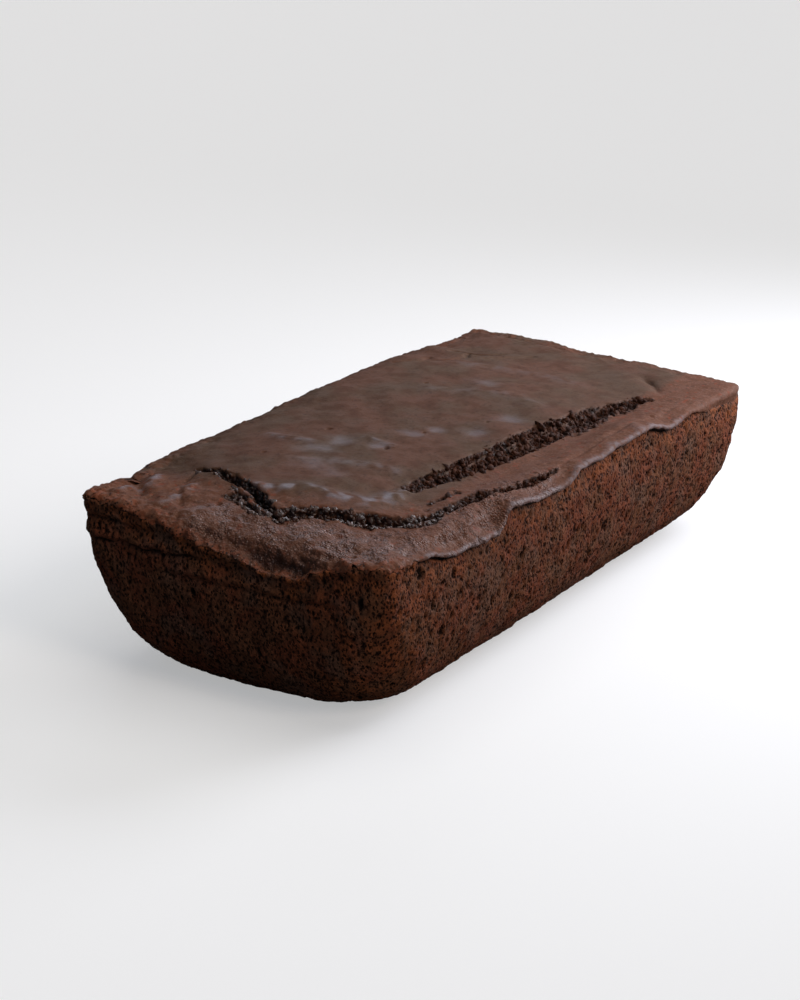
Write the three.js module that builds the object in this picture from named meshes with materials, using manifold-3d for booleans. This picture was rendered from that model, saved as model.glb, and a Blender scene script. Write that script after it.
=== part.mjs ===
import * as THREE from 'three';
import { mergeVertices } from 'three/addons/utils/BufferGeometryUtils.js';
import Module from 'manifold-3d';

// A dark banana bread as it was turned out of its loaf tin, uncut: one solid, crumb and crust together.
// Millimetres, +Z up. X runs along the loaf and Y across it. The origin is under its middle, on the base.
// The front end faces -X, the right side faces -Y.

const { clamp, lerp, smoothstep } = THREE.MathUtils;
const wasm = await Module();
wasm.setup();

// Driving dimensions of the baked block, measured under the lip
const LENGTH = 239.6;
const WIDTH = 110.6;
const CORNER_HEIGHT = { frontLeft: 59, frontRight: 56.5, backRight: 49, backLeft: 50.4 };
const WALL_TAPER = 5.8;
const WALL_BULGE = 2.4;
const BULGE_SKEW = 1.3;
const BASE_EDGE_RADIUS = 19;
const BASE_CORNER_RADIUS = 28;
const RIM_CORNER_RADIUS = 4;
const BASE_SETTLED = 1;

// The crown above the plane of the four corners. A flat dome rises from the right band to the left edge.
// The edges rise by pairs of x and height.
const DOME_RISE = 4.4;
const DOME_CENTRE = -8;
const DOME_ENDS = [50, 112];
const DOME_RIGHT = [-38, 0];
const DOME_LEFT = [22, 55];
const LEFT_EDGE = [
  [-118, -0.8], [-92, -1.8], [-62, 0.8], [-30, 3], [20, 4.2],
  [54, 3.9], [70, 1.4], [79, 3], [90, -0.4], [118, 0],
];
const RIGHT_EDGE = [[-118, 0.6], [-46, 1.8], [0, 2.4], [42, 3.6], [62, 1.4], [118, 0.6]];
const RIGHT_BAND = [4, 18];

// How far in from the wall the crown begins to round over to the lip
const SHOULDER = { front: 22, right: 13, back: 11, left: 12 };

// The lip is the crust's edge that baked against the tin. The wall steps back under it.
const LIP_THICKNESS = 1.8;
const LIP_REACH = 1;
const LIP_FREE = 24;
const UNDERCUT_HEIGHT = 1.5;
const UNDERCUT_DEPTH = 0.4;

// How far the lip sags below the corner plane: along the front end by y, along the right side by x
const FRONT_SAG = [[-54, 1.8], [-44, 3.2], [-19, 11], [0, 8.6], [26, 3.8], [40, 2], [54, 1.6]];
const RIGHT_SAG = [
  [-118, 1.8], [-97, 2.8], [-80, 6.4], [-57, 6.8], [-46, 0.4], [-28, 3], [-14, 3.4],
  [0, 0], [42, -1.8], [62, 2], [74, 0.6], [100, 1.8], [118, 1.8],
];
const OTHER_SAG = { mean: 2, swing: 1.3, wave: 13 };

// The tears of the top crust. A route (x, y) keeps the middle of the loaf on its left. The crust on
// that side stands above the other side by the rise.
const TEARS = [
  {
    route: [[-56, -24], [-38, -27.5], [-18, -29.5], [4, -31], [30, -32.5], [58, -33], [77, -37.5]],
    width: 8, depth: 5, rise: 4.8,
  },
  { route: [[-83, 36], [-86, 24], [-91, 12], [-98, 1], [-103, -7]], width: 3.4, depth: 7, rise: 2.6 },
  {
    route: [[-103, -5], [-97.5, -12], [-92.5, -20], [-88.5, -29], [-81, -38], [-69, -43]],
    width: 5.6, depth: 4, rise: 3.2,
  },
  {
    route: [[-78, -42], [-66, -44], [-50, -46.5], [-32, -49.5], [-12, -51]],
    width: 2.4, depth: 3.2, rise: 1.2,
  },
  { route: [[-90, 19], [-97, 10], [-103, 0]], width: 2, depth: 3, rise: 0.5 },
  { route: [[86, -38], [96, -30], [102, -20]], width: 2.2, depth: 3, rise: 1 },
  { route: [[93, 26], [84, 33], [79, 43]], width: 2.6, depth: 3, rise: 0.6 },
];

// A fold of the skin steps up towards the middle without tearing
const FOLDS = [
  { route: [[-96, 10], [-88, -3], [-76, -14], [-62, -22], [-46, -27]], rise: 1.6 },
];
const STEP_WIDTH = 3.4;
const STEP_FADE = 18;
const TEAR_END = 0.06;
const TEAR_OPENING = 0.6;

// The section of a tear, from above the crust to its floor: the height as a share of the depth,
// the width as a share of the mouth's, and how far it leans to the outer side
const TEAR_SECTION = [
  { height: 1.8, width: 1.1, lean: -0.05 },
  { height: 0, width: 1, lean: 0 },
  { height: -0.6, width: 0.7, lean: 0.16 },
  { height: -1, width: 0.3, lean: 0.3 },
];

// Relief: slow swells of the crust, crags a few millimetres wide, and the rough walls of the tears
const SWELL = { size: 11, height: 0.55 };
const CRAG = { size: 3.4, height: 0.3 };
const TORN = { size: 1.7, height: 0.9 };

// Facets
const CELLS = { along: 56, across: 26, up: 12 };
const BASE_ROWS = 4;
const LIP_ROWS = 2;
const EDGE_CROWDING = 0.3;
const ROUTE_STEP = 4.2;
const TEAR_CELLS_ACROSS = 2;

// An uneven swell between about -1 and 1, which changes over a distance of a few sizes
function swell(x, y, z, size) {
  const [a, b, c] = [x / size, y / size, z / size];
  const first = Math.sin(1.1 * a + 1.7 * Math.sin(0.7 * b + c));
  const second = Math.sin(1.3 * b + 1.4 * Math.sin(0.9 * c - 0.6 * a));
  const third = Math.sin(0.8 * c - a + 1.2 * Math.sin(a + 1.1 * b));
  return (first + second + third) / 3;
}

function relief(x, y, z) {
  return SWELL.height * swell(x, y, z, SWELL.size) + CRAG.height * swell(y, z, x, CRAG.size);
}

// A smooth curve of heights through [place, height] pairs
function heightAt(pairs, place) {
  const next = pairs.findIndex(([end]) => end > place);
  if (next === 0) return pairs[0][1];
  if (next < 0) return pairs[pairs.length - 1][1];
  const [start, low] = pairs[next - 1];
  const [end, high] = pairs[next];
  return lerp(low, high, smoothstep(place, start, end));
}

function otherSag(place) {
  return OTHER_SAG.mean + OTHER_SAG.swing * swell(place, 0, 0, OTHER_SAG.wave);
}

// The plane of the four corners
function cornerPlane(x, y) {
  const along = x / LENGTH + 0.5;
  const across = y / WIDTH + 0.5;
  const front = lerp(CORNER_HEIGHT.frontRight, CORNER_HEIGHT.frontLeft, across);
  const back = lerp(CORNER_HEIGHT.backRight, CORNER_HEIGHT.backLeft, across);
  return lerp(front, back, along);
}

// How far the crown stands above that plane
function crownRise(x, y) {
  const domeAlong = 1 - smoothstep(Math.abs(x - DOME_CENTRE), ...DOME_ENDS);
  const dome = DOME_RISE * domeAlong * smoothstep(y, ...DOME_RIGHT);
  const right = heightAt(RIGHT_EDGE, x) * (1 - smoothstep(y + WIDTH / 2, ...RIGHT_BAND));
  return lerp(right + dome, heightAt(LEFT_EDGE, x), smoothstep(y, ...DOME_LEFT));
}

// The share of the way from the crown down to the lip, at a distance in from a wall: a quarter round
function shoulder(distance, reach) {
  const inward = 1 - clamp(distance / reach, 0, 1);
  return 1 - Math.sqrt(1 - inward * inward);
}

// A route as a smooth curve in plan, with evenly spaced points for finding distances
function routeCurve(route) {
  const curve = new THREE.CatmullRomCurve3(route.map(([x, y]) => new THREE.Vector3(x, y, 0)));
  const steps = Math.ceil(curve.getLength() / ROUTE_STEP);
  return { curve, steps, points: curve.getSpacedPoints(3 * steps) };
}

const tears = TEARS.map((tear) => ({ ...tear, ...routeCurve(tear.route) }));
const folds = FOLDS.map((fold) => ({ ...fold, ...routeCurve(fold.route) }));

// How open a tear is along its route: wide in the middle, closing towards both ends
function opening(along) {
  return Math.sin(Math.PI * lerp(TEAR_END, 1 - TEAR_END, along)) ** TEAR_OPENING;
}

// The crust rises to the inner side of a tear or fold, and blends into the dome behind it
function step(line, x, y) {
  const { points, rise } = line;
  let nearest = 0;
  let squared = Infinity;
  points.forEach((point, index) => {
    const away = (x - point.x) ** 2 + (y - point.y) ** 2;
    if (away < squared) {
      squared = away;
      nearest = index;
    }
  });
  const ahead = points[Math.min(nearest + 1, points.length - 1)];
  const behind = points[Math.max(nearest - 1, 0)];
  const point = points[nearest];
  const turn = (ahead.x - behind.x) * (y - point.y) - (ahead.y - behind.y) * (x - point.x);
  const inner = Math.sign(turn) * Math.sqrt(squared);
  const along = nearest / (points.length - 1);
  const open = opening(along) - opening(0);
  const fade = Math.exp(-((Math.max(inner, 0) / STEP_FADE) ** 2));
  return rise * open * fade * smoothstep(inner, -STEP_WIDTH / 2, STEP_WIDTH / 2);
}

// The height of the top crust, down to the upper edge of the lip
function topHeight(x, y) {
  const plane = cornerPlane(x, y);
  const steps = [...tears, ...folds].reduce((sum, line) => sum + step(line, x, y), 0);
  const crown = crownRise(x, y) + steps;
  const drop = (sag, distance, reach) => (crown + sag - LIP_THICKNESS) * shoulder(distance, reach);
  return plane + crown - Math.max(
    drop(heightAt(FRONT_SAG, y), LENGTH / 2 + x, SHOULDER.front),
    drop(heightAt(RIGHT_SAG, x), WIDTH / 2 + y, SHOULDER.right),
    drop(otherSag(y), LENGTH / 2 - x, SHOULDER.back),
    drop(otherSag(x), WIDTH / 2 - y, SHOULDER.left),
  );
}

// How far the wall stands in from the wall top at a height: taper, belly and rounded bottom edge
function wallInset(height, top) {
  const share = clamp(height / top, 0, 1);
  const low = Math.max(BASE_EDGE_RADIUS - BASE_SETTLED - height, 0);
  const round = BASE_EDGE_RADIUS - Math.sqrt(Math.max(BASE_EDGE_RADIUS ** 2 - low ** 2, 0));
  return WALL_TAPER * (1 - share) - WALL_BULGE * Math.sin(Math.PI * share ** BULGE_SKEW) + round;
}

// How far the lip stands out: little at the corners
function lipReach(x, y) {
  const fromCorner = Math.hypot(LENGTH / 2 - Math.abs(x), WIDTH / 2 - Math.abs(y));
  return LIP_REACH * smoothstep(fromCorner, 0, LIP_FREE);
}

// The row heights of a wall from the base to the lip, with how far each row stands out
function wallRow(row, top, reach) {
  const lipUnder = top - LIP_THICKNESS;
  const roundTop = BASE_EDGE_RADIUS * 0.7;
  const wallRows = CELLS.up - LIP_ROWS - BASE_ROWS - 1;
  if (row <= BASE_ROWS) {
    const angle = (row / BASE_ROWS) * Math.acos(1 - roundTop / BASE_EDGE_RADIUS);
    return { height: BASE_EDGE_RADIUS * (1 - Math.cos(angle)) - BASE_SETTLED, reach: 0 };
  }
  if (row <= BASE_ROWS + wallRows) {
    const share = (row - BASE_ROWS) / wallRows;
    const height = lerp(roundTop - BASE_SETTLED, lipUnder - UNDERCUT_HEIGHT, share);
    return { height, reach: share === 1 ? -UNDERCUT_DEPTH : 0 };
  }
  const share = (row - BASE_ROWS - wallRows - 1) / LIP_ROWS;
  return { height: lerp(lipUnder, top, share), reach: reach * Math.cos(share * Math.PI / 2) };
}

// A place on the square of -1 to 1 becomes a place on a rectangle with round corners
function onRoundedPlan(u, v, inset, radius) {
  const half = new THREE.Vector2(LENGTH / 2 - inset, WIDTH / 2 - inset);
  const place = new THREE.Vector2(u, v).multiply(half);
  const core = place.clone().clamp(half.clone().subScalar(radius).negate(), half.clone().subScalar(radius));
  const corner = place.clone().sub(core);
  const reach = Math.max(Math.abs(corner.x), Math.abs(corner.y));
  if (corner.x !== 0 && corner.y !== 0) corner.setLength(reach);
  return core.add(corner);
}

function crowdToEdges(share) {
  return lerp(share, Math.sin(share * Math.PI / 2), EDGE_CROWDING);
}

// The closed solid of a geometry
function solid(geometry) {
  geometry.deleteAttribute('normal');
  geometry.deleteAttribute('uv');
  const merged = mergeVertices(geometry);
  const vertProperties = merged.attributes.position.array;
  const triVerts = Uint32Array.from(merged.index.array);
  return new wasm.Manifold(new wasm.Mesh({ numProp: 3, vertProperties, triVerts }));
}

// The block without its tears: a box of small cells, each corner of which moves to the crust
function block() {
  const box = new THREE.BoxGeometry(2, 2, 2, CELLS.along, CELLS.across, CELLS.up);
  const place = new THREE.Vector3();
  const { position } = box.attributes;
  for (let index = 0; index < position.count; index += 1) {
    place.fromBufferAttribute(position, index);
    const [u, v] = [crowdToEdges(place.x), crowdToEdges(place.y)];
    const row = Math.round((place.z + 1) / 2 * CELLS.up);
    const rim = onRoundedPlan(u, v, 0, RIM_CORNER_RADIUS);
    const top = topHeight(rim.x, rim.y);
    if (row === CELLS.up) {
      place.set(rim.x, rim.y, top);
    } else {
      const { height, reach } = wallRow(row, top, lipReach(rim.x, rim.y));
      const radius = lerp(BASE_CORNER_RADIUS, RIM_CORNER_RADIUS, clamp(height / top, 0, 1));
      const wall = onRoundedPlan(u, v, wallInset(height, top) - reach, radius);
      place.set(wall.x, wall.y, height);
    }
    const outward = new THREE.Vector3(rim.x / LENGTH, rim.y / WIDTH, row === CELLS.up ? 1 : 0).normalize();
    place.addScaledVector(outward, relief(place.x, place.y, place.z));
    position.setXYZ(index, place.x, place.y, place.z);
  }
  return solid(box);
}

// The space of a tear: a box bent along the route, narrow at its floor, with a rough inner wall
function tearSpace(tear) {
  const { curve, steps, width, depth } = tear;
  const down = TEAR_SECTION.length - 1;
  const box = new THREE.BoxGeometry(1, 1, down, steps, TEAR_CELLS_ACROSS, down);
  const { position } = box.attributes;
  for (let index = 0; index < position.count; index += 1) {
    const along = position.getX(index) + 0.5;
    const row = TEAR_SECTION[Math.round(down / 2 - position.getZ(index))];
    const middle = curve.getPointAt(along);
    const tangent = curve.getTangentAt(along);
    const open = opening(along);
    const side = width * open * (position.getY(index) * row.width - row.lean);
    const x = middle.x - tangent.y * side;
    const y = middle.y + tangent.x * side;
    const height = topHeight(middle.x, middle.y) + row.height * depth * open;
    const rough = TORN.height * open;
    position.setXYZ(
      index,
      x + rough * swell(x, y, height, TORN.size),
      y + rough * swell(y, height, x, TORN.size),
      height + rough * swell(height, x, y, TORN.size),
    );
  }
  return solid(box);
}

// Everything below the plane of the base, which the loaf's weight has pressed flat
function under() {
  const depth = 20;
  const slab = new THREE.BoxGeometry(2 * LENGTH, 2 * WIDTH, depth);
  slab.translate(0, 0, -depth / 2);
  return solid(slab);
}

function loafGeometry() {
  const spaces = [...tears.map(tearSpace), under()];
  const loaf = spaces.reduce((whole, space) => whole.subtract(space), block()).getMesh();
  const geometry = new THREE.BufferGeometry();
  geometry.setAttribute('position', new THREE.BufferAttribute(loaf.vertProperties, loaf.numProp));
  geometry.setIndex(new THREE.BufferAttribute(loaf.triVerts, 1));
  geometry.computeBoundingBox();
  const middle = geometry.boundingBox.getCenter(new THREE.Vector3());
  geometry.translate(-middle.x, -middle.y, -geometry.boundingBox.min.z);
  return geometry;
}

const crust = new THREE.MeshStandardMaterial({ color: 0x4f382d, roughness: 0.72, metalness: 0 });
const loaf = new THREE.Mesh(loafGeometry(), crust);
loaf.name = 'loaf';

const part = new THREE.Group();
part.add(loaf);
export default part;
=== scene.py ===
from itertools import product
from math import cos, radians, sin

import bpy
import numpy as np
from mathutils import Matrix, Vector


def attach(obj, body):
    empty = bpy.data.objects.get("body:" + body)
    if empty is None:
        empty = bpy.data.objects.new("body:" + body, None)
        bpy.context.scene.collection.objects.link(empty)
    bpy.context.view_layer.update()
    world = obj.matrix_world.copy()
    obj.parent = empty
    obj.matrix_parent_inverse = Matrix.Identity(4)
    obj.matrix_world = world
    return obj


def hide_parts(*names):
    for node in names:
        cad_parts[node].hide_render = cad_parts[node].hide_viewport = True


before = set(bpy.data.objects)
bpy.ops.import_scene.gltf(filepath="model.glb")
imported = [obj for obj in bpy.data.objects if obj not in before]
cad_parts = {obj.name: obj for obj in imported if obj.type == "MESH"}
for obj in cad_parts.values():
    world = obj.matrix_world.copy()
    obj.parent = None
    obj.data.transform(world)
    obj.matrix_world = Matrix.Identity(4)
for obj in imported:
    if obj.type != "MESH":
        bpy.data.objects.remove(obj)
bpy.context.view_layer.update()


# ---------------------------------------------------------------------------------------------------------
# The form of the loaf. A dark banana bread, baked in a plain loaf tin and turned out of it uncut. It is a
# copy of the solid that it stands for, made fine and rounded, from which the crust and the crumb are cut.
MM = 0.001

# In mm: the rim of the loaf, the height above which a place belongs to its top, how far apart points are
# that become one, and the cell of the fine copy
LENGTH, WIDTH = 239.6, 110.6
TOP_FROM = 30
ONE_POINT = 0.001
FINE_CELL = 0.42

# How many times each place is smoothed, to take the facets of the solid away
FACET_SMOOTHING = 55
SHOULDER_SMOOTHING = 200
LAST_SMOOTHING = 3

# Heights of the four corners of the rim, and how far the lip sags below their plane along each side
CORNER_HEIGHT = {"front_left": 59, "front_right": 56.5, "back_right": 49, "back_left": 50.4}
FRONT_SAG = [(-54, 1.8), (-44, 3.2), (-19, 11), (0, 8.6), (26, 3.8), (40, 2), (54, 1.6)]
RIGHT_SAG = [
    (-118, 1.8), (-97, 2.8), (-80, 6.4), (-57, 6.8), (-46, 0.4), (-28, 3), (-14, 3.4),
    (0, 0), (42, -1.8), (62, 2), (74, 0.6), (92, 3.5), (118, 6),
]
OTHER_SAG = 2

# The ragged lower edge of the crust: the height and width of its waves, and how much higher they are near
# the corner. Further in than the rim all is crust.
EDGE_WAVES = [(0.9, 4), (0.8, 2)]
LONG_WAVES = [(0.4, 5)]
NEAR_CORNER = (-116, -50)
CORNER_REACH = 26
CORNER_GAIN = 1.4
RIM_WIDTH = 4

# The routes of the tears in plan, with the width of each, and the soft fold beyond the end of the long one
TEARS = [
    ([(-56, -24), (-38, -27.5), (-18, -29.5), (4, -31), (30, -32.5), (58, -33), (77, -37.5)], 8),
    ([(-83, 36), (-86, 24), (-91, 12), (-98, 1), (-103, -7)], 3.4),
    ([(-103, -5), (-97.5, -12), (-92.5, -20), (-88.5, -29), (-81, -38), (-69, -43)], 5.6),
    ([(-78, -42), (-66, -44), (-50, -46.5), (-32, -49.5), (-12, -51)], 2.4),
    ([(-90, 19), (-97, 10), (-103, 0)], 2),
]
FAR_FOLD = [(86, -38), (96, -30), (102, -20)]
FOLD_REACH = 7


def only(piece):
    """Selects one piece alone and makes it the active one."""
    bpy.ops.object.select_all(action="DESELECT")
    piece.select_set(True)
    bpy.context.view_layer.objects.active = piece


def finish_with(piece, kind, **settings):
    """Adds a modifier to a piece and applies it."""
    only(piece)
    modifier = piece.modifiers.new(kind.lower(), kind)
    for name, value in settings.items():
        setattr(modifier, name, value)
    bpy.ops.object.modifier_apply(modifier=modifier.name)


def paint(piece, name, weights):
    """A vertex group with a weight for each point, in 20 steps."""
    group = piece.vertex_groups.new(name=name)
    steps = np.rint(np.clip(weights, 0, 1) * 20).astype(int)
    for step in range(1, 21):
        group.add(np.flatnonzero(steps == step).tolist(), step / 20, "REPLACE")


def read(points, name, width=3):
    """A value of all the points of a mesh."""
    flat = np.empty(len(points) * width, np.float32)
    points.foreach_get(name, flat)
    return flat.reshape(-1, width).astype(float)


def ramp(low, high, value):
    """0 below low, 1 above high, and smooth between them."""
    share = np.clip((value - low) / (high - low), 0, 1)
    return share * share * (3 - 2 * share)


def bell(value, reach):
    """1 where the value is 0, and less than 0.4 beyond the reach."""
    return np.exp(-((value / reach) ** 2))


def along(pairs, place):
    """A smooth curve of values through (place, value) pairs."""
    starts, values = np.array(pairs, float).T
    index = np.clip(np.searchsorted(starts, place) - 1, 0, len(starts) - 2)
    share = ramp(0, 1, (place - starts[index]) / (starts[index + 1] - starts[index]))
    return values[index] + (values[index + 1] - values[index]) * share


def from_route(route, places):
    """The distance in plan from a route of straight runs."""
    nearest = np.full(len(places), np.inf)
    for start, end in zip(np.array(route[:-1], float), np.array(route[1:], float)):
        run = end - start
        offset = places[:, :2] - start
        on_run = np.clip(offset @ run / (run @ run), 0, 1)
        nearest = np.minimum(nearest, np.hypot(*(offset - on_run[:, None] * run).T))
    return nearest


# Random directions, places and chances for the cells of the mottling and of the hollows
rng = np.random.default_rng(28)
LATTICE = 48
directions = rng.normal(size=(LATTICE, LATTICE, LATTICE, 3))
directions /= np.linalg.norm(directions, axis=3, keepdims=True)
jitters = rng.random((LATTICE, LATTICE, LATTICE, 3))
chances = rng.random((LATTICE, LATTICE, LATTICE))

# The mottling starts this many cells away from the middle of the loaf, and is stretched to reach 1
MOTTLE_START = 19.3
MOTTLE_GAIN = 1.7


def mottle(places, size, stretch=(1, 1, 1)):
    """Random swells and hollows between about -1 and 1, which are about size mm wide."""
    cell, part = np.divmod(places / (np.array(stretch) * size) + MOTTLE_START, 1)
    cell = cell.astype(int)
    soft = part * part * (3 - 2 * part)
    total = np.zeros(len(places))
    for corner in product((0, 1), repeat=3):
        share = np.prod(np.where(corner, soft, 1 - soft), axis=1)
        column = tuple(((cell + corner) % LATTICE).T)
        total += share * np.einsum("ij,ij->i", directions[column], part - corner)
    return MOTTLE_GAIN * total


def swells(places, sizes):
    """Mottles added up, each by its height and width in mm."""
    return sum(height * mottle(places, width) for height, width in sizes)


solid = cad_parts["loaf"]
surface = bpy.data.objects.new("surface", solid.data.copy())
surface.data.materials.clear()
bpy.context.scene.collection.objects.link(surface)
only(surface)
bpy.ops.object.mode_set(mode="EDIT")
bpy.ops.mesh.select_all(action="SELECT")
bpy.ops.mesh.remove_doubles(threshold=ONE_POINT * MM)
bpy.ops.object.mode_set(mode="OBJECT")
finish_with(surface, "REMESH", mode="VOXEL", voxel_size=FINE_CELL * MM)


def tear_share(places):
    """1 at the tears, and 0 well clear of them."""
    shares = [ramp(width + 3, width * 0.5 + 1, from_route(route, places)) for route, width in TEARS]
    return np.max(shares, axis=0) * (places[:, 2] > TOP_FROM)


# The tears stay sharp, and the far right shoulder is rounded most
places = read(surface.data.vertices, "co") / MM
paint(surface, "unbroken", 1 - tear_share(places))
shoulder = ramp(72, 92, places[:, 0]) * ramp(30, 42, -places[:, 1])
shoulder = np.maximum(shoulder, bell(from_route(FAR_FOLD, places), FOLD_REACH))
paint(surface, "far_shoulder", shoulder * (places[:, 2] > TOP_FROM))
finish_with(surface, "SMOOTH", factor=0.5, iterations=FACET_SMOOTHING, vertex_group="unbroken")
finish_with(surface, "SMOOTH", factor=0.5, iterations=SHOULDER_SMOOTHING, vertex_group="far_shoulder")
finish_with(surface, "SMOOTH", factor=0.5, iterations=LAST_SMOOTHING)


def lip_height(x, y):
    """The height of the lip's lower edge at the wall that is nearest in plan."""
    corner = CORNER_HEIGHT
    across = y / WIDTH + 0.5
    front = corner["front_right"] + (corner["front_left"] - corner["front_right"]) * across
    back = corner["back_right"] + (corner["back_left"] - corner["back_right"]) * across
    plane = front + (back - front) * (x / LENGTH + 0.5)
    inward = np.array([LENGTH / 2 + x, WIDTH / 2 + y, LENGTH / 2 - x, WIDTH / 2 - y])
    other = np.full(len(x), float(OTHER_SAG))
    sags = np.array([along(FRONT_SAG, y), along(RIGHT_SAG, x), other, other])
    weights = np.exp(-(inward - inward.min(axis=0)) / 2)
    return plane - (sags * weights).sum(axis=0) / weights.sum(axis=0)


def from_edge(places):
    """How far each place is above and inward from the uneven lower edge of the crust."""
    x, y, z = places.T
    inward = np.min([LENGTH / 2 + x, WIDTH / 2 + y, LENGTH / 2 - x, WIDTH / 2 - y], axis=0)
    from_corner = np.hypot(x - NEAR_CORNER[0], y - NEAR_CORNER[1])
    ragged = swells(places, EDGE_WAVES) * (1 + CORNER_GAIN * bell(from_corner, CORNER_REACH))
    ragged *= np.maximum(ramp(WIDTH / 2 - 8, WIDTH / 2 - 12, -y), ramp(-98, -105, x))
    uneven = swells(places, LONG_WAVES) + ragged
    return z - lip_height(x, y) + uneven + 1.2 * np.maximum(inward - RIM_WIDTH, 0) * (z > TOP_FROM)


over_edge = from_edge(read(surface.data.vertices, "co") / MM)


# ---------------------------------------------------------------------------------------------------------
# The crust. The skin of the batter set first and tore as the middle rose, smooth in the middle of the loaf
# and granular towards its end. Its edge stayed as a lip where it had climbed the sides of the tin.
CRUST_TRIANGLES = 184000
CRUST_UNDERSIDE = [(1.6, 0), (24, 11)]

# The height and width of the swells of the skin, of the ripples where it shines, of its lumps and granules
# where it stretched, of the lumps along its edge, and of the torn edges and the torn crumb
SKIN_SWELLS = [(0.4, 17), (0.18, 6), (0.06, 1.7)]
SHEEN_RIPPLES = [(0.14, 1.9), (0.1, 1.1)]
SKIN_LUMPS = [(0.7, 8), (0.4, 3.5), (0.2, 1.8)]
GRANULES = [(0.3, 3), (0.22, 1.9), (0.26, 1.15)]
EDGE_LUMPS = [(0.9, 7.5), (0.5, 3.2), (0.3, 1.7)]
EDGE_ROUGHNESS = [(0.5, 2.6), (0.45, 1.3)]
TORN_EDGE = [(0.9, 3.1), (0.7, 1.5)]
TORN_CRUMB = [(0.9, 3.3), (0.9, 1.9), (0.35, 1.1)]

# The hollows of the crust by their spacing and radii, and how deep they are
BLISTERS = {"spacing": 6.5, "least": -2.2, "most": 1.6}
BLISTER_DEPTH = 0.9
PITS = {"spacing": 1.9, "least": 0, "most": 0.8}
PIT_DEPTH = 0.5
CLEFTS = {"spacing": 2.4, "least": 0.4, "most": 1.4}
CLEFT_DEPTH = 1.2

# Wrinkles by their crests, creases, spots of sheen and pinholes of the skin, in plan, each with how far it
# reaches and how high or deep it is
WRINKLES = [
    ([(-92, 12), (-88, 2), (-83, -5)], 3.2, 0.8),
    ([(-81.5, -11.5), (-79.5, -18), (-76, -23.5), (-67.5, -26)], 3.6, 0.9),
    ([(-66, -27), (-58, -25), (-50, -27)], 2.6, 0.6),
    ([(-45, 34), (-46, 26.5), (-44.6, 20)], 2.6, 0.5),
    ([(-30.4, 6.5), (-32.5, -3)], 2, 0.5),
    ([(-62, 12), (-56, 2), (-52, -8), (-50, -16)], 3, 0.4),
    ([(28, 18), (36, 6), (40, -8), (38, -18)], 4, 0.3),
    ([(64, 30), (70, 18), (74, 2), (72, -14)], 4, 0.3),
    ([(-112, 30), (-104, 27), (-96, 30)], 2, 0.7),
    ([(-108, 47), (-100, 43), (-92, 45)], 2.4, 0.8),
]
CREASES = [
    ([(-110, 36.4), (-101.8, 35.3), (-95.5, 35), (-89, 34.6), (-82, 36.3)], 0.8, 1.3),
    ([(-108, 40), (-101, 46), (-95.6, 51)], 1.6, 0.9),
    ([(-112, 22), (-106, 27), (-100, 31)], 1.2, 0.6),
    ([(62, 40), (69, 34.5), (76, 33), (84, 36)], 0.9, 0.9),
    ([(80, 27), (88, 23), (97, 18)], 1.1, 0.8),
    ([(50, 46), (58, 41), (66, 42)], 1.1, 0.7),
]
SHEEN_SPOTS = [
    ((-14.5, -1), 5, 0.4), ((-8, -5), 4, 0.35), ((19, -17), 6, 0.3), ((0, -15), 5, 0.3), ((-34, -1), 5, 0.3),
    ((-38, 12), 7, 0.3), ((-48, 14), 7, 0.3), ((-62, 8), 7, 0.3), ((-66, -3), 6, 0.3), ((48, 8), 7, 0.2),
]
PINHOLES = [
    ((-29.5, 22.2), 0.9, 1.6), ((-35.7, -3.4), 0.8, 1.6), ((-12.1, -3.2), 0.6, 1),
    ((34, 24), 0.7, 1.2), ((-63, 25), 0.7, 1), ((10, -14), 0.7, 1.1),
]

# Where the skin stretched over the end and the near corner, and where it became granular
STRETCHED = [(-110, 44), (-112, 15), (-111, -10), (-106, -42), (-86, -50), (-50, -52), (-20, -54)]
GRANULAR = [(-112, 8), (-112, -12), (-107, -40), (-90, -49), (-60, -51), (-24, -54)]

# How far the lip curls out, by x along the right side
LIP_CURL = [
    (-118, 0.1), (-102, 0.15), (-96, 1.1), (-60, 1), (-52, 0.7), (-44, 1.3),
    (62, 1.2), (76, 0.4), (92, 0.05), (118, 0),
]

# The hollow that the roll over the front end hangs over
HOLLOW = {"y": -19, "reach": 17, "over_edge": 3.4, "depth": 2.6}

# The broken edges of the tears in plan, with half the width and the depth of the bite that each takes
BROKEN = [
    ([(-54, -27), (-38, -30.2), (-18, -32), (4, -33.6), (30, -34.8), (58, -35.4), (74, -38)], 0.8, 2.4),
    ([(-56, -25.5), (-38, -28.5), (-18, -30.5), (4, -32), (30, -33), (58, -34), (76, -37.5)], 2.6, 0.7),
    ([(-82.5, 36.5), (-84, 29), (-88, 19.7), (-92, 8.3), (-96, 2), (-101.5, -5)], 0.7, 2.2),
    ([(-101, -6), (-96.5, -12), (-93, -20), (-89.5, -28), (-84, -36.5), (-76, -44)], 2.6, 1.1),
    ([(-76, -44), (-67, -43.2), (-56, -44), (-46, -46.2)], 1.6, 1.3),
    ([(-46, -46.2), (-37, -48.3), (-29, -50), (-19.5, -50.6), (-9, -51.2)], 0.5, 1.4),
    ([(-97.5, 14.5), (-98.5, 10.5), (-101.6, 5), (-103.4, -1)], 1.4, 1.2),
    ([(-62, -36), (-54, -38), (-48, -37.5)], 0.5, 0.6),
]

# The plan in cells of 1 mm: where the middle of the loaf is in it, its size, and the reach of a tear's lid
PLAN_MIDDLE = (130, 70)
PLAN_CELLS = (261, 141)
LID_REACH = 5

# The hollows start this many cells away from the middle of the loaf
HOLLOW_START = 31.7


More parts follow.
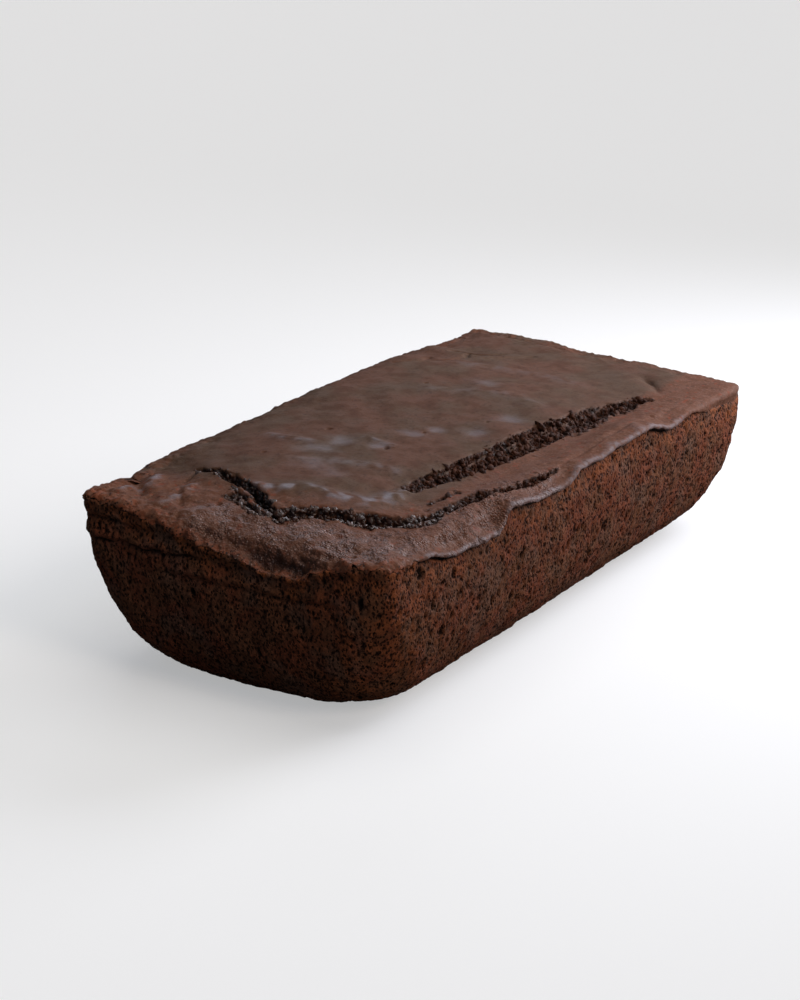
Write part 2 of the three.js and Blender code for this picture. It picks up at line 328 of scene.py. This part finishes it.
def hollows(places, spacing, least, most):
    """Round hollows up to 1 deep, one in each cube of spacing mm, with radii from least to most mm. Where the
    radius comes out below zero there is none."""
    cell, part = np.divmod(places / spacing + HOLLOW_START, 1)
    cell = cell.astype(int)
    deepest = np.zeros(len(places))
    for step in product((-1, 0, 1), repeat=3):
        column = tuple(((cell + step) % LATTICE).T)
        offset = part - step - jitters[column]
        radius = np.maximum(least + (most - least) * chances[column] ** 2, 0.01) / spacing
        deepest = np.maximum(deepest, 1 - np.einsum("ij,ij->i", offset, offset) / radius**2)
    return deepest


def sides(x, y):
    """How much each place belongs to the right side, and how much to the front with its near corner."""
    right = ramp(WIDTH / 2 - 9, WIDTH / 2 - 3, -y)
    corner = right * ramp(-100, -110, x)
    return right - corner, np.maximum(ramp(LENGTH / 2 - 9, LENGTH / 2 - 3, -x) * (1 - right), corner)


def edge_relief(places, over, right_side, front_side):
    """The lumps along the edge of the crust, which go on in the crumb below it, most of them at the front."""
    strip = np.where(over > 0, ramp(14, 3, over), ramp(-6, 0, over))
    rough = bell(over - 0.3, 2.6) * swells(places, EDGE_ROUGHNESS)
    return (strip * swells(places, EDGE_LUMPS) + rough) * (0.5 + 0.5 * front_side) * (1 - 0.7 * right_side)


def lip_curl(places, right_side, front_side, usual):
    """How far the lip curls out: by x along the right side, by chance elsewhere, and not at the front."""
    curl = usual + usual * mottle(places * (1, 1, 0), 15)
    curl += (along(LIP_CURL, places[:, 0]) - curl) * right_side
    return curl - curl * front_side


def widest(heights, reach):
    """The highest value within a square of reach cells each way."""
    for axis in (0, 1):
        heights = np.max([np.roll(heights, step, axis) for step in range(-reach, reach + 1)], axis=0)
    return heights


def cut_out(name, keep):
    """A new piece: a copy of the surface without the points that are not in keep."""
    piece = bpy.data.objects.new(name, surface.data.copy())
    bpy.context.scene.collection.objects.link(piece)
    only(piece)
    bpy.ops.object.mode_set(mode="EDIT")
    bpy.ops.mesh.select_mode(type="VERT")
    bpy.ops.mesh.select_all(action="DESELECT")
    bpy.ops.object.mode_set(mode="OBJECT")
    piece.data.vertices.foreach_set("select", ~keep)
    bpy.ops.object.mode_set(mode="EDIT")
    bpy.ops.mesh.delete(type="VERT")
    bpy.ops.object.mode_set(mode="OBJECT")
    return piece


def raise_relief(piece, places, normals, height, marks):
    """Moves each point along its normal by a height in mm, and keeps the marks for the material."""
    moved = places + normals * height[:, None]
    moved[:, 2] = np.maximum(moved[:, 2], 0)
    piece.data.vertices.foreach_set("co", (moved * MM).astype(np.float32).ravel())
    for name, values in marks.items():
        layer = piece.data.attributes.new(name, "FLOAT", "POINT")
        layer.data.foreach_set("value", values.astype(np.float32))
    piece.data.update()
    return moved


def thin_out(piece, triangles):
    """Leaves a piece with this many triangles, most of them where it is roughest."""
    before = sum(len(face.vertices) - 2 for face in piece.data.polygons)
    finish_with(piece, "DECIMATE", ratio=triangles / before)
    bpy.ops.object.shade_smooth()


def close_up(piece, rings):
    """Turns the cut edge of a piece inwards by rings of (inwards, down) in mm, and closes the last one."""
    only(piece)
    bpy.ops.object.mode_set(mode="EDIT")
    bpy.ops.mesh.select_mode(type="EDGE")
    bpy.ops.mesh.select_all(action="DESELECT")
    bpy.ops.mesh.select_non_manifold(
        extend=False, use_wire=False, use_boundary=True,
        use_multi_face=False, use_non_contiguous=False, use_verts=False,
    )
    bpy.ops.mesh.mark_sharp()
    for inwards, down in rings:
        shrink = (1 - inwards / (LENGTH / 2), 1 - inwards / (WIDTH / 2), 1)
        bpy.ops.mesh.extrude_edges_move()
        bpy.ops.transform.resize(value=shrink, center_override=(0, 0, 0))
        bpy.ops.transform.translate(value=(0, 0, -down * MM))
    bpy.ops.mesh.extrude_edges_move()
    bpy.ops.mesh.merge(type="CENTER")
    bpy.ops.mesh.select_all(action="SELECT")
    bpy.ops.mesh.normals_make_consistent(inside=False)
    bpy.ops.object.mode_set(mode="OBJECT")


crust = cut_out("crust", over_edge > 0)
places = read(crust.data.vertices, "co") / MM
normals = read(crust.data.vertices, "normal")
x, y, z = places.T
over = from_edge(places)
upward = np.clip(normals[:, 2], 0, 1)
right_side, front_side = sides(x, y)
rim = ramp(14, 3, over) * (1 - 0.8 * right_side)

# Long soft swells and a faint grain, then the wrinkles, creases, spots and pinholes
height = swells(places, SKIN_SWELLS)
sheen = np.zeros(len(places))
wander = 0.6 * mottle(places, 4)
for route, reach, rise in WRINKLES:
    swell = rise * bell(from_route(route, places) + wander, reach)
    height += upward * swell
    sheen = np.maximum(sheen, swell * ramp(-0.5, 0.3, mottle(places, 3)))
for route, reach, drop in CREASES:
    height -= upward * drop * bell(from_route(route, places) + wander, reach)
for (spot_x, spot_y), reach, drop in SHEEN_SPOTS + PINHOLES:
    height -= upward * drop * bell(np.hypot(x - spot_x, (y - spot_y) * 1.25), reach)
for (spot_x, spot_y), reach, drop in SHEEN_SPOTS:
    from_middle = np.hypot(x - spot_x, y - spot_y) + 3 * mottle(places, 6) + 1.5 * mottle(places, 2.2)
    sheen = np.maximum(sheen, 0.45 * ramp(1.3 * reach, 0, from_middle))
height += sheen * swells(places, SHEEN_RIPPLES)

# Lumps, granules, blisters and pits where the skin stretched. A number that is added to the places moves a
# pattern away from the others.
stretched = ramp(32, 12, from_route(STRETCHED, places)) * ramp(-60, -85, x + 0.3 * y)
granular = ramp(15, 6, from_route(GRANULAR, places) + 7 * mottle(places, 7) + 3 * mottle(places, 2.5))
granular *= 0.4 + 0.6 * ramp(-0.35, 0.15, mottle(places + 60, 3.6))
height += stretched * swells(places, SKIN_LUMPS)
height += granular * swells(places, GRANULES)
blisters = hollows(places, **BLISTERS) * np.clip(stretched + rim, 0, 1)
pits = hollows(places + 80, **PITS) * granular
height -= BLISTER_DEPTH * blisters + PIT_DEPTH * pits

# The lip, which thins out at the far end, and the hollow under the roll
curl = lip_curl(places, right_side, front_side, 0.4)
height += curl * (0.9 * bell(over - 0.8, 1) - 0.5 * bell(over - 3.4, 1.6))
height += edge_relief(places, over, right_side, front_side)
height -= 0.7 * bell(over, 2.5) * ramp(84, 104, x)
under_roll = bell(y - HOLLOW["y"], HOLLOW["reach"]) * bell(over - HOLLOW["over_edge"], 2.2) * front_side
height -= HOLLOW["depth"] * under_roll

# The tears, by their broken edges
ragged = swells(places, TORN_EDGE)
torn = np.zeros(len(places))
bite = np.zeros(len(places))
for route, reach, depth in BROKEN:
    from_middle = from_route(route, places) + ragged
    bite = np.maximum(bite, depth * ramp(reach + 0.5, reach - 0.5, from_middle))
    torn = np.maximum(torn, ramp(reach + 0.7, reach, from_middle))

# The skin is also torn wherever it lies deep under the lid that would close the tears
columns = tuple(np.rint(places[:, :2] + PLAN_MIDDLE).astype(int).T)
lid = np.full(PLAN_CELLS, -np.inf)
np.maximum.at(lid, columns, z)
lid[~np.isfinite(lid)] = 0
lid = -widest(-widest(lid, LID_REACH), LID_REACH)
below_lid = lid[columns] - z
torn = np.maximum(torn, ramp(0.3, 0.9, below_lid + 0.3 * ragged) * tear_share(places)) * (over > 4)
height *= 1 - 0.7 * torn
height -= upward * bite * torn
height += torn * swells(places, TORN_CRUMB)
clefts = hollows(places + 0.5 * mottle(places, 2)[:, None], **CLEFTS) * torn
height -= CLEFT_DEPTH * clefts

# Marks for the material: painted shade where the tear is deep and in the hollow under the roll, blisters and
# pits; painted shade along the lower edge of the crust; a painted cool sheen along with the gloss; painted
# pale glints along with the gloss on granules; and a painted pale highlight along the curled lip.
marks = {
    "torn": torn,
    "deep": np.clip(0.6 * clefts + torn * (ramp(1.5, 6.5, below_lid) + 0.8 * ramp(1, 2.2, bite)), 0, 1),
    "granular": granular * (1 - torn),
    "glossy": granular * (1 - torn) * (0.35 + 0.65 * ramp(-88, -103, x)),
    "sheen": sheen * (1 - torn),
    "edge": over,
    "curled": ramp(0.3, 1, curl) * bell(over - 0.8, 1),
    "sunken_shade": np.clip(under_roll + 0.45 * blisters + 0.8 * pits, 0, 1),
    "rust": ramp(3.5, 0.5, over) * (1 - right_side) * (0.3 + 0.7 * front_side),
    "outer": np.maximum(stretched, ramp(-31, -38, y)),
}
crust_places = raise_relief(crust, places, normals, height, marks)
torn_on_crust, deep_shade_on_crust, crust_normals = torn, marks["deep"], normals
thin_out(crust, CRUST_TRIANGLES)
close_up(crust, CRUST_UNDERSIDE)


def linear(colour):
    """Linear red, green and blue of an sRGB hex colour."""
    parts = [int(colour[i : i + 2], 16) / 255 for i in (1, 3, 5)]
    return tuple(p / 12.92 if p <= 0.04045 else ((p + 0.055) / 1.055) ** 2.4 for p in parts) + (1,)


def add(tree, kind, inputs, **settings):
    """A node with its settings, and a value or a link for each input that is named."""
    node = tree.nodes.new("ShaderNode" + kind)
    for name, value in settings.items():
        setattr(node, name, value)
    for name, value in inputs.items():
        if isinstance(value, bpy.types.NodeSocket):
            tree.links.new(value, node.inputs[name])
        else:
            node.inputs[name].default_value = value
    return node


def new_material(name, noises, marks):
    """An empty material, the place on the piece in mm, and what its colours follow: soft noises by the width
    of their swells in mm and by how far they are broken up, and the marks of the piece."""
    material = bpy.data.materials.new(name)
    material.use_nodes = True
    tree = material.node_tree
    tree.nodes.clear()
    on_piece = add(tree, "TexCoord", {}).outputs["Object"]
    place = add(tree, "VectorMath", {0: on_piece, 3: 1 / MM}, operation="SCALE").outputs[0]
    follows = {}
    for noise, (width, detail) in noises.items():
        inputs = {"Vector": place, "Scale": 1 / width, "Detail": detail}
        follows[noise] = add(tree, "TexNoise", inputs).outputs[0]
    for mark in marks:
        follows[mark] = add(tree, "Attribute", {}, attribute_name=mark).outputs["Fac"]
    return material, tree, place, follows


def lay(tree, under, over, pattern, start=0.0, full=1.0, share=1.0, among=None, rise="SMOOTHSTEP"):
    """Lays a colour over another, more of it as a pattern goes from start to full, and only among a mark."""
    inputs = {"Value": pattern, "From Min": start, "From Max": full, "To Max": share}
    part = add(tree, "MapRange", inputs, interpolation_type=rise).outputs[0]
    if among is not None:
        part = add(tree, "Math", {0: part, 1: among}, operation="MULTIPLY").outputs[0]
    under, over = [linear(colour) if isinstance(colour, str) else colour for colour in (under, over)]
    return add(tree, "Mix", {0: part, 6: under, 7: over}, data_type="RGBA").outputs[2]


def raised(tree, *parts):
    """A bump that adds up patterns, each with its height in mm and, where there is one, its mark."""
    total = 0.0
    for pattern, height, *among in parts:
        for mark in among:
            pattern = add(tree, "Math", {0: pattern, 1: mark}, operation="MULTIPLY").outputs[0]
        total = add(tree, "Math", {0: pattern, 1: height, 2: total}, operation="MULTIPLY_ADD").outputs[0]
    return add(tree, "Bump", {"Height": total, "Distance": MM, "Strength": 1.0}).outputs[0]


def shade(tree, inputs):
    """Ends a material with a shader that has these inputs."""
    shader = add(tree, "BsdfPrincipled", inputs).outputs[0]
    add(tree, "OutputMaterial", {"Surface": shader})


# Baked cocoa crust, dull where the skin is whole, with a faint cool sheen on its wrinkles and on the
# granules, where it is moist: a glossy coat there, with a painted cool grey sheen on the wrinkles and spots
# of sheen and painted pale glints on some granules. The torn crumb under it is nearly black, with painted
# shade where the tear is deep, and rusty where the skin is thin.
baked, tree, place, on = new_material(
    "baked_cocoa_crust",
    {
        "broad": (19, 2), "medium": (5.5, 2), "fine": (1.2, 3), "spots": (2.2, 3), "speckles": (0.9, 3),
        "rusty": (2.4, 4), "dry": (1.8, 3), "broken": (1.6, 2), "grain": (0.5, 3), "crumbs": (0.7, 4),
    },
    ["torn", "deep", "granular", "glossy", "sheen", "edge", "curled", "sunken_shade", "rust", "outer"],
)
colour = lay(tree, "#4f3b2d", "#56392b", on["broad"], 0.36, 0.62)
colour = lay(tree, colour, "#442b1f", on["medium"], 0.45, 0.72, 0.5)
colour = lay(tree, colour, "#5e3a29", on["outer"], 0.1, 1, 0.85)
colour = lay(tree, colour, "#2b1810", on["fine"], 0.5, 0.75, 0.6)
# A painted cool sheen, grey over the brown where the skin shines
colour = lay(tree, colour, "#635d64", on["sheen"], 0.15, 0.8, 0.5)
colour = lay(tree, colour, "#6d3520", on["spots"], 0.6, 0.68, 0.9, on["outer"])
colour = lay(tree, colour, "#7d5c4e", on["speckles"], 0.52, 0.7, 0.5, on["outer"])

# Granules about 0.75 mm wide, with pale glints painted on some of them and painted shade in the gaps
# between them
cells = add(tree, "TexVoronoi", {"Vector": place, "Scale": 1 / 0.75})
granules = cells.outputs["Distance"]
inputs = {"Value": cells.outputs["Color"], "From Min": 0.6, "From Max": 0.8}
some = add(tree, "MapRange", inputs, interpolation_type="SMOOTHSTEP").outputs[0]
pale = add(tree, "Math", {0: some, 1: on["glossy"]}, operation="MULTIPLY").outputs[0]
colour = lay(tree, colour, "#633b29", on["granular"], share=0.6, rise="LINEAR")
colour = lay(tree, colour, "#8c766e", granules, 0.5, 0.2, among=pale)
colour = lay(tree, colour, "#2b1810", granules, 0.45, 0.7, 0.6, on["granular"])

# The thin rusty skin with its holes painted dark for the shade in them, a pale highlight painted along the
# curled edge of the lip, and painted shade in the hollow under the roll, in blisters and pits, and at the
# lower edge of the crust
holes = add(tree, "TexVoronoi", {"Vector": place, "Scale": 1 / 1.2}).outputs["Distance"]
colour = lay(tree, colour, "#74402a", on["rusty"], 0.4, 0.54, among=on["rust"])
colour = lay(tree, colour, "#1d0d07", holes, 0.4, 0.2, among=on["rust"])
inputs = {"Value": on["dry"], "From Min": 0.35, "From Max": 0.6, "To Min": 0.2, "To Max": 0.85}
lip_highlight = add(tree, "MapRange", inputs, interpolation_type="SMOOTHSTEP").outputs[0]
colour = lay(tree, colour, "#6f6263", on["curled"], 0.3, 1, among=lip_highlight)
colour = lay(tree, colour, "#27150e", on["sunken_shade"], 0.2, 1, 0.55)
colour = lay(tree, colour, "#1a0c06", on["edge"], 0.25, 0)
torn_colour = lay(tree, "#24130b", "#462818", on["broken"], 0.42, 0.62)
# Painted shade where the tear is deep
torn_colour = lay(tree, torn_colour, "#0b0503", on["deep"], rise="LINEAR")
colour = lay(tree, colour, torn_colour, on["torn"], rise="LINEAR")

inputs = {"Value": granules, "From Min": 0.7, "From Max": 0}
rounded = add(tree, "MapRange", inputs, interpolation_type="SMOOTHSTEP").outputs[0]
bump = raised(
    tree, (on["grain"], 0.16), (rounded, 0.3, on["granular"]), (on["crumbs"], 0.8, on["torn"]),
)
inputs = {"Value": on["medium"], "From Min": 0.35, "From Max": 0.65, "To Min": 0.62, "To Max": 0.75}
dullness = add(tree, "MapRange", inputs, interpolation_type="SMOOTHSTEP").outputs[0]
moist = on["sheen"]
for mark, share in {"glossy": 0.85, "torn": 0.25}.items():
    damp = add(tree, "Math", {0: on[mark], 1: share}, operation="MULTIPLY").outputs[0]
    moist = add(tree, "Math", {0: moist, 1: damp}, operation="MAXIMUM").outputs[0]
inputs = {"Base Color": colour, "Roughness": dullness, "Normal": bump}
inputs |= {"IOR": 1.33, "Specular IOR Level": 0.22}
inputs |= {"Coat Weight": moist, "Coat Roughness": 0.36, "Coat IOR": 1.35, "Coat Normal": bump}
shade(tree, inputs)

crust.data.materials.append(baked)
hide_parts("loaf")
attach(crust, "root")


# ---------------------------------------------------------------------------------------------------------
# The crumb. Where the batter stood against the tin there is no skin: the sides are a fine open crumb, with
# small pores a little taller than wide and a few large ones. It goes on a little way under the crust.
CRUMB_TRIANGLES = 182000
CRUMB_TOPSIDE = [(1.5, 0), (24, 15)]
LAP = 1.4

# The pores and scars by their spacing and radii, how deep they are, and where the tall ones are
SMALL_PORES = {"spacing": 1.7, "least": 0.35, "most": 0.95}
SMALL_DEPTH = 0.6
LARGE_PORES = {"spacing": 4.6, "least": -1.2, "most": 1.6}
TALL_PORES = {"spacing": 5, "least": -1.4, "most": 1.9}
LARGE_DEPTH = 1.3
SCARS = {"spacing": 13, "least": -7, "most": 5}
SCAR_DEPTH = 0.6
TALL_PORES_AT = (-112, -48)
TALL_PORES_REACH = 24

# Ledges under the front edge: the height of each along y, and how deep it is cracked
LEDGES = [
    ([(-60, 45.9), (-7, 45.9), (9, 46.5), (27, 45.1), (48, 44.6), (60, 44)], 1.3),
    ([(-60, 41), (-40, 41.5), (-10, 40), (20, 39), (60, 37)], 0.8),
    ([(-60, 50), (30, 51.5), (60, 52)], 1),
]

crumb = cut_out("crumb", over_edge < LAP)
places = read(crumb.data.vertices, "co") / MM
normals = read(crumb.data.vertices, "normal")
x, y, z = places.T
over = from_edge(places)
right_side, front_side = sides(x, y)
from_tall = np.hypot(x - TALL_PORES_AT[0], y - TALL_PORES_AT[1])
height = 0.4 * mottle(places, 9) + 0.3 * mottle(places, 3.4, (1, 1, 1.6)) + 0.22 * mottle(places, 1.3)

# Open pores side by side, of which few are large, and shallow scars where the crumb stuck to the tin
warp = np.stack([mottle(places, 1.8), mottle(places + 50, 1.8), mottle(places + 90, 1.8)], axis=1)
upright = (places + 0.5 * warp) * (1, 1, 0.62)
small_pores = hollows(upright, **SMALL_PORES) ** 0.8
large_pores = hollows(upright + 200, **LARGE_PORES) ** 0.7
tall_pores = hollows(upright * (1, 1, 0.6) + 300, **TALL_PORES) ** 0.7 * bell(from_tall, TALL_PORES_REACH)
scars = hollows(places + 0.9 * warp + 400, **SCARS) ** 0.8
height -= SMALL_DEPTH * small_pores + LARGE_DEPTH * np.maximum(large_pores, tall_pores) + SCAR_DEPTH * scars

cracks = np.zeros(len(places))
ledge_shares = [ramp(-22, -4, y), ramp(-50, -30, y) * ramp(34, 14, y), ramp(18, 30, y)]
for (line, depth), share in zip(LEDGES, ledge_shares):
    below = z - along(line, y) + 0.9 * mottle(places, 6) + 0.5 * mottle(places, 2.5)
    crack = front_side * share * depth * bell(below, 0.8) * ramp(-0.6, 0.1, mottle(places, 9))
    height += 0.6 * front_side * share * depth * bell(below - 2, 1.4) - crack
    cracks = np.maximum(cracks, crack)

# The gap under the lip, and the crumb under the crust
gap = lip_curl(places, right_side, front_side, 0.35) * bell(over + 0.6, 0.8)
height *= ramp(0.5, -3, over)
height += edge_relief(places, over, right_side, front_side)
height *= ramp(0.3, 2, z)
height -= 2.1 * gap + 1.2 * ramp(-0.3, 1, over)

# Marks for the material: painted shade in the pores, in the gap under the lip and in the ledge cracks
marks = {
    "pores": np.clip(0.8 * small_pores + large_pores + tall_pores, 0, 1),
    "scars": scars,
    # Raised around the near corner, partly for the crumb's own redder colour there and partly as painted
    # light
    "rust": np.maximum(ramp(-12, -1, over), 0.8 * bell(from_tall, 22)),
    "gap": np.maximum(gap, 0.4 * cracks),
}
raise_relief(crumb, places, normals, height, marks)
thin_out(crumb, CRUMB_TRIANGLES)
close_up(crumb, CRUMB_TOPSIDE)

# Cocoa crumb, matt and even, reddish where it is thin and grey where the fat of the tin dried on it, with
# painted shade in its pores and pinholes, in the gap under the lip and in the cracks under the ledges. Round
# the near corner the reddish colour is partly its own and partly painted light.
matt, tree, place, on = new_material(
    "matt_cocoa_crumb",
    {"broad": (9, 3), "dry": (13, 2), "rusty": (4.5, 3), "rough": (0.7, 4)},
    ["pores", "scars", "rust", "gap"],
)
colour = lay(tree, "#643e29", "#6c3a26", on["broad"], 0.38, 0.62)
colour = lay(tree, colour, "#5f483b", on["dry"], 0.5, 0.66, 0.5)
# Reddish where the crumb is thin, and around the near corner partly painted light
colour = lay(tree, colour, "#7d4729", on["rusty"], 0.46, 0.6, 0.9, on["rust"])

# Dark ridges, and pinholes about 0.95 mm apart with painted shade in them, bent out of line and both a
# little taller than wide
upright = add(tree, "Mapping", {"Vector": place, "Scale": (1 / 1.3, 1 / 1.3, 1 / 1.95)}).outputs[0]
ridges = add(tree, "TexNoise", {"Vector": upright, "Scale": 1.0, "Detail": 3.0}).outputs[0]
bends = add(tree, "TexNoise", {"Vector": place, "Scale": 1 / 1.5, "Detail": 1.0}).outputs["Color"]
bends = add(tree, "VectorMath", {0: bends, 1: (0.5, 0.5, 0.5)}, operation="SUBTRACT").outputs[0]
bent = add(tree, "VectorMath", {0: place, 1: bends}, operation="ADD").outputs[0]
bent = add(tree, "Mapping", {"Vector": bent, "Scale": (1, 1, 0.65)}).outputs[0]
pinholes = add(tree, "TexVoronoi", {"Vector": bent, "Scale": 1 / 0.95}).outputs["Distance"]
colour = lay(tree, colour, "#2c170f", ridges, 0.5, 0.68, 0.6)
colour = lay(tree, colour, "#1d0d07", pinholes, 0.55, 0.2, 0.85)
# Painted shade in the pores, darker scars, and painted shade in the gap under the lip and the ledge cracks
colour = lay(tree, colour, "#140905", on["pores"], 0.15, 0.75, 0.95)
colour = lay(tree, colour, "#271a18", on["scars"], 0.1, 1, 0.5)
colour = lay(tree, colour, "#0c0503", on["gap"], 0.2, 0.6, 0.95)
inputs = {"Value": pinholes, "From Min": 0.1, "From Max": 0.5}
between = add(tree, "MapRange", inputs, interpolation_type="SMOOTHSTEP").outputs[0]
bump = raised(tree, (on["rough"], 0.4), (between, 0.5))
inputs = {"Base Color": colour, "Roughness": 0.8, "Normal": bump, "IOR": 1.3, "Specular IOR Level": 0.22}
shade(tree, inputs)

crumb.data.materials.append(matt)
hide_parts("loaf")
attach(crumb, "root")
bpy.data.objects.remove(surface)


# ---------------------------------------------------------------------------------------------------------
# The clumps of crumb in the tears. The crumb broke into rough moist clumps, which hang together along both
# walls of a tear and on its floor. One clump is modelled and copied, each copy turned and dented its own way.
CLUMPS = 4100
CLUMP_RADIUS = (0.28, 1)
CLUMP_SQUEEZE = (0.5, 1.3)
CLUMP_DENTS = 0.8
CLUMP_SUNK = 0.55
LEAST_TORN = 0.7

bpy.ops.object.select_all(action="DESELECT")
bpy.ops.mesh.primitive_cube_add(size=2)
one = bpy.context.object
bpy.ops.object.mode_set(mode="EDIT")
bpy.ops.mesh.subdivide(number_cuts=1)
bpy.ops.transform.tosphere(value=1)
bpy.ops.object.mode_set(mode="OBJECT")
corners = read(one.data.vertices, "co")
faces = np.array([face.vertices for face in one.data.polygons])
bpy.data.objects.remove(one)

ready = np.flatnonzero(torn_on_crust > LEAST_TORN)
chosen = rng.choice(ready, CLUMPS, replace=False)
radii = CLUMP_RADIUS[0] + (CLUMP_RADIUS[1] - CLUMP_RADIUS[0]) * rng.random(CLUMPS) ** 2
turns = np.linalg.qr(rng.normal(size=(CLUMPS, 3, 3)))[0]
turns[:, 0] *= np.sign(np.linalg.det(turns))[:, None]
shapes = corners * rng.uniform(*CLUMP_SQUEEZE, (CLUMPS, 1, 3))
dents = mottle((shapes + rng.uniform(0, 90, (CLUMPS, 1, 3))).reshape(-1, 3), 1.1).reshape(CLUMPS, -1, 1)
shapes *= 1 + CLUMP_DENTS * dents
shapes = np.einsum("nij,nkj->nki", turns, shapes) * radii[:, None, None]
centres = crust_places[chosen] - crust_normals[chosen] * radii[:, None] * CLUMP_SUNK
shapes += centres[:, None]
all_faces = (faces[None] + len(corners) * np.arange(CLUMPS)[:, None, None]).reshape(-1, 4)
mesh = bpy.data.meshes.new("torn_clumps")
mesh.from_pydata((shapes.reshape(-1, 3) * MM).tolist(), [], all_faces.tolist())
clumps = bpy.data.objects.new("torn_clumps", mesh)
bpy.context.scene.collection.objects.link(clumps)
for name, values in {"deep": deep_shade_on_crust[chosen], "wet": ramp(-50, -75, centres[:, 0])}.items():
    layer = mesh.attributes.new(name, "FLOAT", "POINT")
    layer.data.foreach_set("value", np.repeat(values, len(corners)).astype(np.float32))
only(clumps)
bpy.ops.object.shade_smooth()

# Moist cocoa crumb, almost black, with painted shade where the tear is deep, and small glints near the
# front end.
moist, tree, place, on = new_material(
    "moist_cocoa_crumb", {"mottled": (1.7, 2), "rough": (0.7, 3)}, ["deep", "wet"],
)
colour = lay(tree, "#2a140b", "#452515", on["mottled"], 0.4, 0.65)
# Painted shade where the tear is deep
colour = lay(tree, colour, "#0d0604", on["deep"], share=0.75, rise="LINEAR")
bump = raised(tree, (on["rough"], 0.35))
inputs = {"Base Color": colour, "Roughness": 0.7, "Normal": bump, "IOR": 1.35, "Specular IOR Level": 0.2}
inputs |= {"Coat Weight": on["wet"], "Coat Roughness": 0.25, "Coat IOR": 1.45, "Coat Normal": bump}
shade(tree, inputs)

clumps.data.materials.append(moist)
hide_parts("loaf")
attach(clumps, "root")


# ---------------------------------------------------------------------------------------------------------
# The floor, the light and the camera. A plain pale floor, a soft window light from the right, beyond the far
# end, a warm light on the right side, a soft light from above, and weak cool ones from the front and back.
FLOOR_WIDTH = 12
FLOOR_DROP = 0.0002
FLOOR_GLOW = 0.4
bpy.ops.mesh.primitive_plane_add(size=FLOOR_WIDTH, location=(0, 0, -FLOOR_DROP))
floor = bpy.context.object
floor.name = "floor"

# Matt pale paper, which gives the loaf less light than it shows, so that the sides keep their shade.
paper, tree, place, on = new_material("pale_paper", {}, [])
seen = add(tree, "LightPath", {}).outputs["Is Camera Ray"]
tone = add(tree, "Mix", {0: seen, 6: linear("#6c6764"), 7: linear("#c0c1c2")}, data_type="RGBA").outputs[2]
glow = add(tree, "Math", {0: seen, 1: FLOOR_GLOW}, operation="MULTIPLY").outputs[0]
inputs = {"Base Color": tone, "Roughness": 0.9, "Specular IOR Level": 0.2}
inputs |= {"Emission Color": linear("#ffffff"), "Emission Strength": glow}
shade(tree, inputs)
floor.data.materials.append(paper)


def shine(name, kind, azimuth, elevation, colour, energy, distance=1.0, **settings):
    """A light that shines on the loaf from an azimuth, counted from +X towards +Y, and an elevation."""
    lamp = bpy.data.lights.new(name, kind)
    lamp.energy = energy
    lamp.color = linear(colour)[:3]
    for setting, value in settings.items():
        setattr(lamp, setting, value)
    light = bpy.data.objects.new(name, lamp)
    bpy.context.scene.collection.objects.link(light)
    a, e = radians(azimuth), radians(elevation)
    towards = Vector((cos(a) * cos(e), sin(a) * cos(e), sin(e)))
    light.location = towards * distance
    light.rotation_euler = towards.to_track_quat("Z", "Y").to_euler()
    light.visible_camera = False


shine("window", "AREA", -30, 27, "#f3f5ff", 1.14, distance=0.47, size=0.3, spread=radians(110))
shine("side_light", "SUN", -101, 34, "#ffefdf", 1.0, angle=radians(25))
shine("front_fill", "SUN", -156, 30, "#9cc8ff", 0.24, angle=radians(60))
shine("top_light", "SUN", -10, 74, "#fdfbf8", 1.25, angle=radians(60))
shine("back_light", "SUN", 32, 26, "#e4e9fb", 0.32, angle=radians(24))

world = bpy.data.worlds.new("studio")
world.use_nodes = True
world.node_tree.nodes.clear()
background = add(world.node_tree, "Background", {"Color": linear("#eef2f8"), "Strength": 0.06})
add(world.node_tree, "OutputWorld", {"Surface": background.outputs[0]})
bpy.context.scene.world = world

# The camera's angles in degrees, and its distance, target, lens and film in mm
CAMERA = {"azimuth": -58.5633, "elevation": 20.2979, "distance": 1057.18, "roll": 0.843}
CAMERA_TARGET = Vector((-5.70, 9.43, 30.14))
FOCAL_LENGTH = 115.2
FILM_HEIGHT = 36
SEEN_UP_TO = 50
azimuth, elevation, roll = (radians(CAMERA[name]) for name in ("azimuth", "elevation", "roll"))
back = Vector((sin(azimuth) * cos(elevation), -cos(azimuth) * cos(elevation), sin(elevation)))
level_right = Vector((cos(azimuth), sin(azimuth), 0))
level_up = back.cross(level_right)
right = cos(roll) * level_right + sin(roll) * level_up
up = -sin(roll) * level_right + cos(roll) * level_up
lens = bpy.data.cameras.new("camera")
lens.lens = FOCAL_LENGTH
lens.sensor_fit = "VERTICAL"
lens.sensor_height = FILM_HEIGHT
lens.clip_end = SEEN_UP_TO
camera = bpy.data.objects.new("camera", lens)
turn = Matrix((right, up, back)).transposed().to_4x4()
camera.matrix_world = Matrix.Translation((CAMERA_TARGET + back * CAMERA["distance"]) * MM) @ turn
bpy.context.scene.collection.objects.link(camera)
bpy.context.scene.camera = camera

scene = bpy.context.scene
scene.view_settings.view_transform = "Standard"
scene.view_settings.look = "None"
